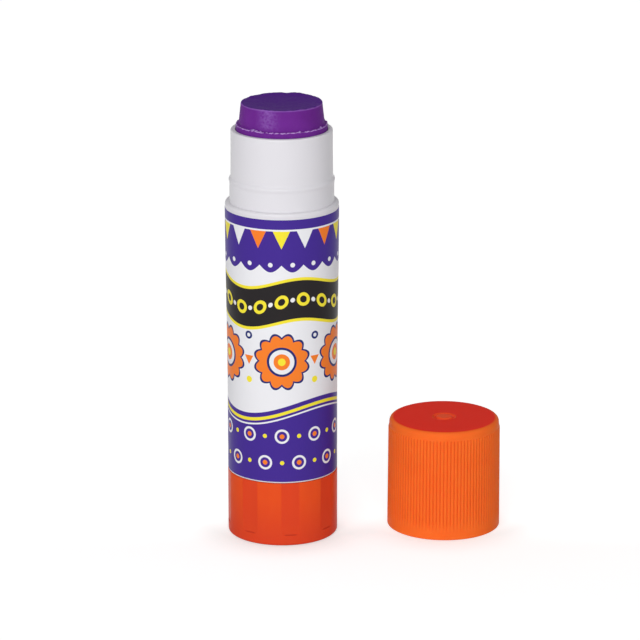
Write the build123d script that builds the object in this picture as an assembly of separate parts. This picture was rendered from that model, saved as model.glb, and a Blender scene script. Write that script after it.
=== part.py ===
from build123d import *
import math
import os

# A small twist-up glue stick, open and standing on its base, with its cap beside it.
# Millimetres, +Z up. The origin is on the stick's axis, on the face that it stands on.

# Heights along the stick
base_height = 12.0
body_length = 50.2
neck_length = 13.2

# Barrel, outside
body_diameter = 19.9
shoulder_diameter = 20.5
flare_start = 16.0
flare_length = 28.0
shoulder_rounding = 0.45
rim_rounding = 0.25
barrel_edge_rounding = 0.1

# Neck, with the step and the small bead that the cap snaps over
bore_diameter = 16.6
neck_wall = 0.83
lower_neck_wall = 1.1
snap_bead_stand = 0.09
snap_bead_height = 4.0
snap_bead_width = 1.0
snap_bead_slope = 0.7

# Keys inside the barrel that stop the glue carrier from turning
key_count = 4
key_width = 1.0
key_depth = 0.45
key_stop_below_rim = 3.4
key_clearance = 0.15

# Bearing at the barrel's lower end: the screw's disc snaps in behind a lip
disc_diameter = 17.9
disc_thickness = 1.5
disc_side_clearance = 0.1
disc_end_clearance = 0.1
lip_depth = 0.35
lip_land = 0.35
lip_slope = 0.25
lip_entry = 0.4
lip_entry_flare = 0.2
disc_bevel = 0.3

# Base, a cup with a socket for the screw and radial ribs inside
base_diameter = 20.0
running_gap = 0.1
base_wall = 1.2
base_floor = 1.4
base_foot_width = 1.4
base_foot_recess = 0.4
base_pad_diameter = 5.2
base_bottom_rounding = 0.45
base_top_rounding = 0.15
base_rib_count = 8
base_rib_thickness = 0.9
base_rib_top_gap = 3.9
socket_wall = 1.45
grip_flat_count = 8
grip_flat_width = 3.3
grip_flat_start = 1.95
grip_flat_turn = 8.6

# Lifting screw
screw_core_diameter = 4.0
screw_thread_depth = 0.95
screw_lead = 4.0
thread_root_width = 1.5
thread_crest_width = 0.85
thread_foot_gap = 0.2
screw_head_length = 1.0
screw_head_below_rim = 4.4
screw_head_rounding = 0.4
hub_diameter = 7.0
hub_below_disc = 4.1
root_diameter = 4.9
root_end_gap = 0.1
spline_count = 6
spline_width = 0.8
spline_height = 0.45
press_interference = 0.02

# Glue carrier, a keyed piston with a threaded hub
carrier_clearance = 0.12
carrier_floor = 1.2
carrier_wall = 0.95
carrier_cup_height = 3.0
carrier_skirt_length = 4.2
nut_length = 7.0
nut_wall = 1.3
thread_clearance = 0.2

# Glue, cast in the barrel round the screw, with the collar and the tapered end above it
glue_clearance = 0.08
glue_length = 27.0
glue_wound_up = 2.2
glue_end_height = 3.8
glue_end_foot_diameter = 15.35
glue_end_top_diameter = 14.75
glue_end_rounding = 0.2
glue_collar_rounding = 0.12
glue_dish_depth = 0.3
glue_dish_margin = 0.45
glue_screw_clearance = 0.3

# Label, one turn of film round the barrel with an overlap at the back
label_thickness = 0.1
label_lower_margin = 0.25
label_upper_margin = 1.1
label_overlap = 2.6

# Cap, standing on its mouth beside the stick. Its bores follow the neck, and its outside follows its bores.
cap_height = 20.45
cap_wall = 0.82
cap_rib_count = 100
cap_rib_stand = 0.1
cap_rib_start = 1.3
cap_rib_stop_below_top = 1.75
cap_top_rounding = 0.45
cap_mouth_rounding = 0.15
cap_top_wall = 1.15
cap_neck_clearance = 0.12
cap_bead_clearance = 0.12
cap_ceiling_rounding = 0.4
cap_ring_wall = 0.85
cap_ring_depth_in_bore = 1.2
cap_ring_clearance = 0.1
gate_dimple_diameter = 4.2
gate_dimple_depth = 0.25
gate_nub_diameter = 2.2
gate_nub_height = 0.2
cap_stand_right = 29.6
cap_stand_back = 3.3

# How far a cut runs past the face it starts from
overrun = 0.5

# Shares of one rib's pitch at which its flanks start and end
rib_corner_shares = (-0.42, -0.2, 0.2, 0.42)
# Share of the side of the bead's outline that is its flat land
bead_land_share = 0.4

# Places worked out from the sizes above
shoulder_z = base_height + body_length
rim_z = shoulder_z + neck_length
bore_radius = bore_diameter / 2
neck_radius = bore_radius + neck_wall
lower_neck_radius = bore_radius + lower_neck_wall
bead_radius = lower_neck_radius + snap_bead_stand
key_top_z = rim_z - key_stop_below_rim
key_inner_radius = bore_radius - key_depth
disc_radius = disc_diameter / 2
seat_radius = disc_radius + disc_side_clearance
lip_top_z = base_height + lip_entry + lip_land + lip_slope
disc_bottom_z = lip_top_z + disc_end_clearance
disc_top_z = disc_bottom_z + disc_thickness
seat_z = disc_top_z + disc_end_clearance
base_top_z = base_height - running_gap
hub_bottom_z = disc_bottom_z - hub_below_disc
socket_top_z = hub_bottom_z - root_end_gap
core_radius = screw_core_diameter / 2
crest_radius = core_radius + screw_thread_depth
head_top_z = rim_z - screw_head_below_rim
head_bottom_z = head_top_z - screw_head_length
collar_top_z = rim_z - cap_ring_depth_in_bore + glue_wound_up
platform_z = collar_top_z - glue_length
thread_bottom_z = platform_z - glue_wound_up - nut_length - thread_foot_gap
carrier_radius = bore_radius - carrier_clearance
cup_radius = carrier_radius - carrier_wall


def turned(outline, arc=360):
    """Solid turned about Z from a closed outline of (radius, height, corner rounding)."""
    with BuildPart() as solid:
        with BuildSketch(Plane.XZ):
            with BuildLine():
                points = [(radius, height) for radius, height, _ in outline]
                FilletPolyline(*points, radius=[corner for _, _, corner in outline], close=True)
            make_face()
        revolve(axis=Axis.Z, revolution_arc=arc)
    return solid.part


def disc(radius, bottom, top):
    """Plain round bar on the axis between two heights."""
    return Pos(0, 0, bottom) * Cylinder(radius, top - bottom, align=(Align.CENTER, Align.CENTER, Align.MIN))


def bars(count, inner, outer, width, bottom, top, turn=0):
    """Ring of radial bars, each from an inner to an outer radius and between two heights."""
    bar = Box(outer - inner, width, top - bottom, align=(Align.MIN, Align.CENTER, Align.MIN))
    return [Rot(0, 0, turn + 360 * i / count) * Pos(inner, 0, bottom) * bar for i in range(count)]


def body_radius(height):
    """Outer radius of the barrel's body: straight, then opening gently, then straight."""
    share = (height - base_height - flare_start) / flare_length
    share = min(max(share, 0), 1)
    return (body_diameter + (shoulder_diameter - body_diameter) * share) / 2


def body_side(bottom, top, stand=0):
    """Points up the barrel's side between two heights, standing off it by a thickness."""
    bends = [base_height + flare_start, base_height + flare_start + flare_length]
    heights = [bottom] + [z for z in bends if bottom < z < top] + [top]
    return [(body_radius(z) + stand, z) for z in heights]


def polar(radius, degrees):
    """Point of a cross-section at a radius and an angle."""
    angle = math.radians(degrees)
    return (radius * math.cos(angle), radius * math.sin(angle))


def threaded_bar(bottom, top, inner, outer, foot_width, crest_width):
    """Bar with a left-hand thread: a round section with one tooth, twisted a turn in each lead.
    Every bar made here has one phase, so a nut cut by a fatter one meshes with the screw."""
    foot = 180 * foot_width / screw_lead
    crest = 180 * crest_width / screw_lead
    with BuildSketch(Plane.XY.offset(bottom)) as section:
        with BuildLine():
            CenterArc((0, 0), outer, -crest, 2 * crest)
            Line(polar(outer, crest), polar(inner, foot))
            CenterArc((0, 0), inner, foot, 360 - 2 * foot)
            Line(polar(inner, -foot), polar(outer, -crest))
        make_face()
    axis = Line((0, 0, bottom), (0, 0, top))
    twist = Helix(screw_lead, top - bottom, outer, center=(0, 0, bottom), lefthand=True)
    turn = -360 * (bottom - thread_bottom_z) / screw_lead
    return Rot(0, 0, turn) * sweep(section.sketch, path=axis, binormal=twist)


def make_barrel():
    """White moulded tube: body, shoulder, neck with its snap bead, bore, keys and bearing seat."""
    bead_z = shoulder_z + snap_bead_height
    land = snap_bead_width * bead_land_share
    outside = [(body_radius(base_height), base_height, barrel_edge_rounding)]
    outside += [(r, z, 0) for r, z in body_side(base_height, shoulder_z)[1:-1]]
    outside += [
        (body_radius(shoulder_z), shoulder_z, shoulder_rounding),
        (lower_neck_radius, shoulder_z, 0),
        (lower_neck_radius, bead_z - snap_bead_width / 2, 0),
        (bead_radius, bead_z - land / 2, 0),
        (bead_radius, bead_z + land / 2, 0),
        (neck_radius, bead_z + land / 2 + snap_bead_slope, 0),
        (neck_radius, rim_z, rim_rounding),
    ]
    inside = [
        (bore_radius, rim_z, 0),
        (bore_radius, seat_z, 0),
        (seat_radius, seat_z, 0),
        (seat_radius, lip_top_z, 0),
        (seat_radius - lip_depth, lip_top_z - lip_slope, 0),
        (seat_radius - lip_depth, base_height + lip_entry, 0),
        (seat_radius + lip_entry_flare, base_height, 0),
    ]
    keys = bars(key_count, key_inner_radius, bore_radius + neck_wall / 2, key_width, seat_z, key_top_z)
    return turned(outside + inside) + keys


def make_label():
    """Film sleeve on the barrel. Its outer end lies on the inner end along the back."""
    bottom = base_height + label_lower_margin
    top = shoulder_z - label_upper_margin
    film = [(r, z, 0) for r, z in body_side(bottom, top)]
    face = [(r, z, 0) for r, z in body_side(bottom, top, label_thickness)]
    second = [(r, z, 0) for r, z in body_side(bottom, top, 2 * label_thickness)]
    lap_angle = math.degrees(label_overlap / body_radius(bottom))
    lap = Rot(0, 0, 90 - lap_angle / 2) * turned(face + second[::-1], lap_angle)
    return turned(film + face[::-1]) + lap


def make_base():
    """Orange knob: a cup with a flat foot and pad, grip flats outside, socket and ribs inside."""
    radius = base_diameter / 2
    inner = radius - base_wall
    socket = root_diameter / 2
    foot = radius - base_foot_width
    pad = base_pad_diameter / 2
    knob = turned([
        (0, 0, 0),
        (pad, 0, 0),
        (pad, base_foot_recess, 0),
        (foot, base_foot_recess, 0),
        (foot, 0, 0),
        (radius, 0, base_bottom_rounding),
        (radius, base_top_z, base_top_rounding),
        (inner, base_top_z, 0),
        (inner, base_floor, 0),
        (socket + socket_wall, base_floor, 0),
        (socket + socket_wall, socket_top_z, 0),
        (socket, socket_top_z, 0),
        (socket, base_floor, 0),
        (0, base_floor, 0),
    ])
    rib_top = base_top_z - base_rib_top_gap
    rib_in = socket + socket_wall / 2 + spline_height / 2
    knob += bars(base_rib_count, rib_in, inner + base_wall / 2, base_rib_thickness, base_floor, rib_top)
    knob -= bars(spline_count, 0, socket + spline_height, spline_width, base_floor, socket_top_z)
    across = math.sqrt(radius**2 - (grip_flat_width / 2) ** 2)
    flats = bars(
        grip_flat_count, across, radius + overrun, base_diameter / 2,
        grip_flat_start, base_top_z + overrun, grip_flat_turn - 90,
    )
    return knob - flats


def make_screw():
    """Lifting screw: splined root, hub, bearing disc, plain stem and a coarse left-hand thread.
    The stem's shoulder stops the carrier wound down, and the head stops it wound up."""
    root = root_diameter / 2 + press_interference
    bar = turned([
        (0, base_floor + root_end_gap, 0),
        (root, base_floor + root_end_gap, 0),
        (root, hub_bottom_z, 0),
        (hub_diameter / 2, hub_bottom_z, 0),
        (hub_diameter / 2, disc_bottom_z, 0),
        (disc_radius - disc_bevel, disc_bottom_z, 0),
        (disc_radius, disc_bottom_z + disc_bevel, 0),
        (disc_radius, disc_top_z, 0),
        (crest_radius, disc_top_z, 0),
        (crest_radius, thread_bottom_z, 0),
        (0, thread_bottom_z, 0),
    ])
    bar += bars(
        spline_count, 0, root + spline_height - press_interference, spline_width + press_interference,
        base_floor + root_end_gap, socket_top_z,
    )
    head = turned([
        (0, head_bottom_z, 0),
        (crest_radius, head_bottom_z, 0),
        (crest_radius, head_top_z, screw_head_rounding),
        (0, head_top_z, 0),
    ])
    thread = threaded_bar(
        thread_bottom_z, head_bottom_z, core_radius, crest_radius, thread_root_width, thread_crest_width
    )
    return thread + head + bar


def make_carrier():
    """Keyed piston under the glue: cup, floor, guide skirt and a hub threaded for the screw."""
    nut_radius = crest_radius + thread_clearance + nut_wall
    floor_z = platform_z - carrier_floor
    nut_bottom = platform_z - nut_length
    piston = turned([
        (0, platform_z, 0),
        (cup_radius, platform_z, 0),
        (cup_radius, platform_z + carrier_cup_height, 0),
        (carrier_radius, platform_z + carrier_cup_height, 0),
        (carrier_radius, floor_z - carrier_skirt_length, 0),
        (cup_radius, floor_z - carrier_skirt_length, 0),
        (cup_radius, floor_z, 0),
        (nut_radius, floor_z, 0),
        (nut_radius, nut_bottom, 0),
        (0, nut_bottom, 0),
    ])
    piston -= bars(
        key_count, key_inner_radius - key_clearance, carrier_radius + overrun, key_width + 2 * key_clearance,
        floor_z - carrier_skirt_length - overrun, platform_z + carrier_cup_height + overrun,
    )
    tap = threaded_bar(
        nut_bottom - overrun, platform_z + overrun, core_radius + thread_clearance, crest_radius + thread_clearance,
        thread_root_width + 2 * thread_clearance, thread_crest_width + 2 * thread_clearance,
    )
    return piston - tap


def make_glue():
    """Cast glue: column with key grooves and a hole round the screw, collar, tapered dished end."""
    radius = bore_radius - glue_clearance
    top_z = collar_top_z + glue_end_height
    hole = crest_radius + glue_screw_clearance
    hole_top = head_top_z + glue_screw_clearance + glue_wound_up
    cup_top = platform_z + carrier_cup_height
    dish_radius = glue_end_top_diameter / 2 - glue_dish_margin
    column = turned([
        (hole, platform_z, 0),
        (cup_radius, platform_z, 0),
        (cup_radius, cup_top, 0),
        (radius, cup_top, 0),
        (radius, collar_top_z, glue_collar_rounding),
        (glue_end_foot_diameter / 2, collar_top_z, 0),
        (glue_end_top_diameter / 2, top_z, glue_end_rounding),
        (0, top_z, 0),
        (0, hole_top, 0),
        (hole, hole_top, 0),
    ])
    column -= bars(
        key_count, key_inner_radius - key_clearance, radius + overrun, key_width + 2 * key_clearance,
        cup_top - overrun, key_top_z + key_clearance + glue_wound_up,
    )
    ball_radius = (dish_radius**2 + glue_dish_depth**2) / (2 * glue_dish_depth)
    return column - Pos(0, 0, top_z - glue_dish_depth + ball_radius) * Sphere(ball_radius)


def rib_section(height, crest, valley):
    """Toothed outline of the cap's ribs at one height, as a face."""
    corners = []
    for i in range(cap_rib_count):
        for share, radius in zip(rib_corner_shares, (valley, crest, crest, valley)):
            corners.append(polar(radius, 360 * (i + share) / cap_rib_count))
    with BuildSketch(Plane.XY.offset(height)) as section:
        with BuildLine():
            Polyline(*corners, close=True)
        make_face()
    return section.sketch


def make_cap():
    """Ribbed orange cap: snap groove, ring that plugs the bore round the glue, gate mark on top."""
    rib_top_z = cap_height - cap_rib_stop_below_top
    bead_z = snap_bead_height
    snap_half = snap_bead_width / 2
    lower_bore = lower_neck_radius + cap_neck_clearance
    groove = bead_radius + cap_bead_clearance
    upper_bore = neck_radius + cap_neck_clearance
    mouth = lower_bore + cap_wall
    top = upper_bore + cap_wall
    ceiling = cap_height - cap_top_wall
    ring_end = neck_length - cap_ring_depth_in_bore
    ring = bore_radius - cap_ring_clearance

    shell = disc(mouth, 0, cap_rib_start)
    shell = fillet(shell.edges().group_by(Axis.Z)[0], cap_mouth_rounding)
    band = disc(top, rib_top_z, cap_height)
    shell += fillet(band.edges().group_by(Axis.Z)[-1], cap_top_rounding)
    shell += loft([
        rib_section(cap_rib_start, mouth, mouth),
        rib_section(rib_top_z, top + cap_rib_stand, top),
    ], ruled=True)

    shell -= turned([
        (0, -overrun, 0),
        (lower_bore, -overrun, 0),
        (lower_bore, bead_z - snap_half, 0),
        (groove, bead_z - snap_half / 2, 0),
        (groove, bead_z + snap_half / 2, 0),
        (upper_bore, bead_z + snap_half / 2 + snap_bead_slope, 0),
        (upper_bore, ceiling, cap_ceiling_rounding),
        (0, ceiling, 0),
    ])
    shell += turned([
        (ring - cap_ring_wall / 2, ring_end, 0),
        (ring, ring_end, 0),
        (ring, ceiling + cap_top_wall / 2, 0),
        (ring - cap_ring_wall, ceiling + cap_top_wall / 2, 0),
        (ring - cap_ring_wall, ceiling, 0),
    ])
    shell -= disc(gate_dimple_diameter / 2, cap_height - gate_dimple_depth, cap_height + overrun)
    nub_bottom = cap_height - gate_dimple_depth - gate_nub_height
    shell += disc(gate_nub_diameter / 2, nub_bottom, cap_height - gate_dimple_depth + gate_nub_height)
    return Pos(cap_stand_right, cap_stand_back, 0) * shell


pieces = {
    "barrel": make_barrel(),
    "label": make_label(),
    "twist_base": make_base(),
    "lift_screw": make_screw(),
    "glue_carrier": make_carrier(),
    "glue_column": make_glue(),
    "cap": make_cap(),
}

os.makedirs("parts", exist_ok=True)
for name, shape in pieces.items():
    export_step(shape, f"parts/{name}.step")
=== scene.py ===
import math

import bmesh
import bpy
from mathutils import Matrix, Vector, noise


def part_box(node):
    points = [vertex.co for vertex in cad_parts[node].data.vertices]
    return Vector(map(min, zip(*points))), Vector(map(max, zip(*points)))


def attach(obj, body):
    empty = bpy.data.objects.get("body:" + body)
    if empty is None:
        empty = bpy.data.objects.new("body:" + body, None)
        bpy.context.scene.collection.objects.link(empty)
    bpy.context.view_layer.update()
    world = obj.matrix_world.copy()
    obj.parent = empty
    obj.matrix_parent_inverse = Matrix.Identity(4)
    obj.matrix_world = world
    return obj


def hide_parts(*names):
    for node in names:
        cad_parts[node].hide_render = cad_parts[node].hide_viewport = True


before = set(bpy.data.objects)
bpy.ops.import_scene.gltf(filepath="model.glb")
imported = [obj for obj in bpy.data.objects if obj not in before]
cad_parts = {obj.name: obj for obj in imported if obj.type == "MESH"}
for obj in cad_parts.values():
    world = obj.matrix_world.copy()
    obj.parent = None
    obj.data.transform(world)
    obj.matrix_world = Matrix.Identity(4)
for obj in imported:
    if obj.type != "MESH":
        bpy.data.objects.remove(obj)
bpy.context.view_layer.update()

# Barrel: the white tube that everything else is built on, with the neck and snap bead for the cap.
# Polypropylene, moulded in one shot with the keys in its bore. The mould leaves it satin and a little milky.

mm = 0.001


def eased(share):
    """Smooth step from 0 to 1."""
    share = min(max(share, 0), 1)
    return share * share * (3 - 2 * share)


def rounded(corners, steps=5, support=0.3):
    """Outline through (radius, height, rounding) corners, with support points beside each rounding."""
    points = []
    last = len(corners) - 1
    for i, (radius, height, rounding) in enumerate(corners):
        corner = Vector((radius, height))
        if not rounding:
            points.append(corner)
            continue
        before = Vector(corners[i - 1][:2]) - corner
        after = Vector(corners[0 if i == last else i + 1][:2]) - corner
        reach = rounding / math.tan(before.angle(after) / 2)
        start = corner + before.normalized() * reach
        end = corner + after.normalized() * reach
        points.append(start + before.normalized() * rounding * support)
        for step in range(steps + 1):
            t = step / steps
            points.append((1 - t) ** 2 * start + 2 * t * (1 - t) * corner + t * t * end)
        points.append(end + after.normalized() * rounding * support)
    return [tuple(point) for point in points]


def round_the_axis(count, extra=()):
    """Angles of a moulding's columns, from the front round to the right, with extra ones put in."""
    return sorted({2 * math.pi * i / count for i in range(count)} | set(extra))


def turned(name, outline, angles, shape=None, centre=(0, 0)):
    """Closed moulding turned about an upright axis from a loop of (radius, height) points. Where
    shape is given, it turns (angle, radius, height) into the radius and height to use there."""
    mesh = bpy.data.meshes.new(name)
    rows = len(outline)
    open_ended = outline[0][0] == 0 and outline[-1][0] == 0
    points = []
    for angle in angles:
        for radius, height in outline:
            if shape and radius > 0:
                radius, height = shape(angle, radius, height)
            x = centre[0] + radius * math.sin(angle)
            points.append((x, centre[1] - radius * math.cos(angle), height))
    faces = []
    for i in range(len(angles)):
        beside = (i + 1) % len(angles)
        for j in range(rows - 1 if open_ended else rows):
            above = (j + 1) % rows
            faces.append((i * rows + j, beside * rows + j, beside * rows + above, i * rows + above))
    mesh.from_pydata(points, [], faces)
    return placed(mesh)


def placed(mesh):
    """Object made of a mesh, with doubled points merged, faces outward and hard edges kept hard."""
    merge_distance = 0.0005 * mm
    hard_angle = math.radians(32)
    work = bmesh.new()
    work.from_mesh(mesh)
    bmesh.ops.remove_doubles(work, verts=work.verts, dist=merge_distance)
    bmesh.ops.delete(work, geom=[edge for edge in work.edges if not edge.link_faces], context="EDGES")
    bmesh.ops.recalc_face_normals(work, faces=work.faces)
    work.to_mesh(mesh)
    work.free()
    mesh.shade_smooth()
    mesh.set_sharp_from_angle(angle=hard_angle)
    piece = bpy.data.objects.new(mesh.name, mesh)
    bpy.context.scene.collection.objects.link(piece)
    return piece


def linear(hex_colour):
    """Linear colour of an sRGB hex value."""
    parts = [int(hex_colour[i : i + 2], 16) / 255 for i in (1, 3, 5)]
    return [p / 12.92 if p <= 0.04045 else ((p + 0.055) / 1.055) ** 2.4 for p in parts] + [1]


def surface(name, settings):
    """New material on one Principled surface, with these values on its sockets."""
    material = bpy.data.materials.new(name)
    material.use_nodes = True
    shader = material.node_tree.nodes["Principled BSDF"]
    for socket, value in settings.items():
        shader.inputs[socket].default_value = value
    return material, material.node_tree, shader


def add(tree, kind, settings=None, links=None):
    """Adds a node, sets its properties and sockets, and feeds sockets from other outputs. A node given
    as a source stands for its first output."""
    made = tree.nodes.new("ShaderNode" + kind)
    for key, value in (settings or {}).items():
        if isinstance(key, int) or key in made.inputs:
            made.inputs[key].default_value = value
        else:
            setattr(made, key, value)
    for key, source in (links or {}).items():
        if isinstance(source, bpy.types.Node):
            source = source.outputs[0]
        tree.links.new(source, made.inputs[key])
    return made


barrel_low, barrel_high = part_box("barrel")
body_bottom = barrel_low.z
rim_z = barrel_high.z
neck_height = 13.2 * mm
shoulder_z = rim_z - neck_height
body_foot_radius = 9.92 * mm
body_top_radius = 10.22 * mm
shoulder_radius = 10.25 * mm
flare_start = 26 * mm
flare_length = 36 * mm
lower_neck_radius = 9.4 * mm
neck_radius = 9.14 * mm
neck_draft = 0.05 * mm
bead_stand = 0.13 * mm
bead_above_shoulder = 4.0 * mm
bead_width = 0.36 * mm
step_height = 0.5 * mm
bore_radius = 8.3 * mm
key_count = 4
key_width = 1.0 * mm
key_depth = 0.45 * mm
key_top_z = rim_z - 3.4 * mm
key_end_slope = 0.05 * mm
seat_z = 14.7 * mm
seat_radius = 9.05 * mm
lip_radius = 8.7 * mm
lip_top_z = 13.0 * mm
lip_edge_z = 12.75 * mm
lip_foot_z = 12.4 * mm
foot_land = 0.2 * mm
foot_round = 0.1 * mm
shoulder_round = 0.5 * mm
neck_root_stand = 0.05 * mm
neck_root_rise = 0.04 * mm
neck_root_round = 0.12 * mm
rim_outer_round = 0.28 * mm
rim_inner_round = 0.12 * mm
body_row = 1 * mm
neck_row = 0.12 * mm
tube_columns = 288


def body_radius(height):
    """Outer radius of the barrel below the shoulder: straight, then opening in one gentle curve."""
    share = eased((height - flare_start) / flare_length)
    return body_foot_radius + (body_top_radius - body_foot_radius) * share


def neck_side(height):
    """Outer radius of the neck: a thick lower part, the soft snap bead, then the thinner mouth."""
    bead_z = shoulder_z + bead_above_shoulder
    fall = eased((height - bead_z - bead_width / 2) / step_height)
    bead = bead_stand * math.exp(-(((height - bead_z) / bead_width) ** 2))
    draft = neck_draft * (1 - eased((height - bead_z) / neck_height * 2))
    return lower_neck_radius + (neck_radius - lower_neck_radius) * fall + bead + draft * fall


def heights(low, high, step):
    """Evenly spaced heights from one to another, both included."""
    count = max(1, round(abs(high - low) / step))
    return [low + (high - low) * i / count for i in range(count + 1)]


key_half_angle = math.asin(key_width / 2 / bore_radius)
key_draw = 0.06 * mm / bore_radius
key_pitch = 2 * math.pi / key_count
key_edges = []
for i in range(key_count):
    middle = key_pitch * i
    for side in (-1, 1):
        for turn in (key_half_angle, key_half_angle + key_draw):
            key_edges.append((middle + side * turn) % (2 * math.pi))


def off_key(angle):
    """Angle to the middle of the nearest key."""
    return abs((angle + key_pitch / 2) % key_pitch - key_pitch / 2)


def with_keys(angle, radius, height):
    """Raises the keys on the bore's wall."""
    on_key = off_key(angle) <= key_half_angle + key_draw / 2
    if radius <= bore_radius and height <= key_top_z and on_key:
        return radius - key_depth, height
    return radius, height


body_z = heights(body_bottom + body_row, shoulder_z - 1.2 * body_row, body_row)
neck_z = heights(shoulder_z + shoulder_round, rim_z - 1 * mm, neck_row)
outside = [(seat_radius + foot_land, body_bottom, 0), (body_foot_radius, body_bottom, foot_round)]
outside += [(body_radius(z), z, 0) for z in body_z]
outside += [
    (shoulder_radius, shoulder_z, shoulder_round),
    (lower_neck_radius + neck_root_stand, shoulder_z + neck_root_rise, neck_root_round),
]
outside += [(neck_side(z), z, 0) for z in neck_z]
outside += [(neck_radius, rim_z, rim_outer_round), (bore_radius, rim_z, rim_inner_round)]
inside = [
    (bore_radius, key_top_z + key_end_slope, 0), (bore_radius, key_top_z, 0), (bore_radius, seat_z, 0),
    (seat_radius, seat_z, 0), (seat_radius, lip_top_z, 0),
    (lip_radius, lip_edge_z, 0), (lip_radius, lip_foot_z, 0),
]
barrel = turned("barrel_tube", rounded(outside + inside), round_the_axis(tube_columns, key_edges), with_keys)
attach(barrel, "stick")
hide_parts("barrel")

# White polypropylene, moulded satin: soft highlight, faint orange peel, light let a little way in.
barrel_white = "#DDDBE0"
peel_size = 0.9 * mm
white_pp, tree, shader = surface("moulded polypropylene white", {
    "Base Color": linear(barrel_white),
    "Roughness": 0.36,
    "IOR": 1.49,
    "Specular IOR Level": 0.3,
    "Subsurface Weight": 0.12,
    "Subsurface Scale": 1 * mm,
    "Subsurface Radius": (1.0, 1.0, 1.0),
})
where = add(tree, "TexCoord")
peel = add(tree, "TexNoise", {"Scale": 1 / peel_size, "Detail": 3.0}, {"Vector": where.outputs["Object"]})
relief = add(tree, "Bump", {"Strength": 0.25, "Distance": 0.01 * mm}, {"Height": peel})
tree.links.new(relief.outputs["Normal"], shader.inputs["Normal"])
haze = add(tree, "MapRange", {"To Min": 0.3, "To Max": 0.42}, {"Value": peel})
tree.links.new(haze.outputs["Result"], shader.inputs["Roughness"])
barrel.data.materials.append(white_pp)

# Label: one turn of printed polypropylene film, glued on with its end lapped over its start at the back.
# Purple at the top and foot and white between, with a made-up cut-paper pattern in the same inks.

film_thickness = 0.05 * mm
film_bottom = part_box("label")[0].z
film_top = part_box("label")[1].z
film_lap = 2.6 * mm
film_rise = 0.9 * mm
film_gap_share = 0.02
film_row = 0.8 * mm
film_columns = 300
film_middle_radius = 10.15 * mm


def make_film():
    """Wrapped strip: its start lies on the barrel and its end climbs over the start."""
    lap_angle = film_lap / film_middle_radius
    whole = 2 * math.pi + lap_angle
    rise_angle = film_rise / film_middle_radius
    levels = heights(film_bottom, film_top, film_row)
    rows = [(0, z) for z in levels] + [(1, z) for z in reversed(levels)]
    points = []
    for i in range(film_columns + 1):
        along = whole * i / film_columns
        angle = math.pi - lap_angle / 2 + along
        climb = (1 + film_gap_share) * eased((along - 2 * math.pi + rise_angle) / rise_angle)
        for face, z in rows:
            radius = body_radius(z) + film_thickness * (film_gap_share + climb + face)
            points.append((radius * math.sin(angle), -radius * math.cos(angle), z))
    count = len(rows)
    faces = []
    for i in range(film_columns):
        for j in range(count):
            above = (j + 1) % count
            faces.append((i * count + j, i * count + above, (i + 1) * count + above, (i + 1) * count + j))
    half = count // 2
    last = film_columns * count
    for j in range(half - 1):
        faces.append((j, j + 1, count - 2 - j, count - 1 - j))
        faces.append((last + j, last + count - 1 - j, last + count - 2 - j, last + j + 1))
    mesh = bpy.data.meshes.new("label_film")
    mesh.from_pydata(points, [], faces)
    return placed(mesh)


label = make_film()
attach(label, "stick")
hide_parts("label")

# Printed film with a gloss varnish: clean inks, a soft even sheen and a very slight ripple from the wrapping.
film_white = "#E9E9ED"
ink_purple = "#452E8F"
ink_orange = "#F4802F"
ink_navy = "#25306F"
ink_charcoal = "#2A2728"
ink_yellow = "#F3E23C"
ink_edge = 0.03
printed_film, tree, shader = surface("varnished polypropylene film", {
    "Roughness": 0.34,
    "IOR": 1.49,
    "Specular IOR Level": 0.06,
})
film_round = 2 * math.pi * film_middle_radius / mm
where = add(tree, "TexCoord")
place = add(tree, "SeparateXYZ", None, {0: where.outputs["Object"]})
ahead = add(tree, "Math", {"operation": "MULTIPLY", 1: -1.0}, {0: place.outputs["Y"]})
turn = add(tree, "Math", {"operation": "ARCTAN2"}, {0: place.outputs["X"], 1: ahead})
round_mm = add(tree, "Math", {"operation": "MULTIPLY", 1: film_middle_radius / mm}, {0: turn})
to_mm = {"operation": "MULTIPLY_ADD", 1: 1 / mm, 2: -film_bottom / mm}
up_mm = add(tree, "Math", to_mm, {0: place.outputs["Z"]})
film = add(tree, "RGB")
film.outputs[0].default_value = linear(film_white)
film = film.outputs[0]


def printed(colour, distance):
    """Lays an ink over the film inside a shape, where the distance to its edge, in mm, is negative."""
    cover = add(tree, "MapRange", {"From Min": ink_edge, "From Max": -ink_edge}, {"Value": distance})
    return add(tree, "Mix", {"data_type": "RGBA", 7: linear(colour)}, {0: cover, 6: film}).outputs[2]


def repeated(count, shift=0.0):
    """Millimetres round the film from the middle of the nearest of count repeats."""
    pitch = film_round / count
    moved = add(tree, "Math", {"operation": "SUBTRACT", 1: shift * pitch}, {0: round_mm})
    return add(tree, "Math", {"operation": "WRAP", 1: pitch / 2, 2: -pitch / 2}, {0: moved})


def wave(level, swing, count, phase=0.0):
    """Height of a wavy line round the film."""
    along = add(tree, "Math", {"operation": "MULTIPLY_ADD", 1: float(count), 2: phase}, {0: turn})
    sine = add(tree, "Math", {"operation": "SINE"}, {0: along})
    return add(tree, "Math", {"operation": "MULTIPLY_ADD", 1: swing, 2: level}, {0: sine})


def above(line):
    """Height over a line; negative under it."""
    return add(tree, "Math", {"operation": "SUBTRACT"}, {0: up_mm, 1: line})


def band(height_over, middle, half_width):
    """Distance to a band that follows a line, negative inside it."""
    off = add(tree, "Math", {"operation": "SUBTRACT", 1: middle}, {0: height_over})
    size = add(tree, "Math", {"operation": "ABSOLUTE"}, {0: off})
    return add(tree, "Math", {"operation": "SUBTRACT", 1: half_width}, {0: size})


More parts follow.
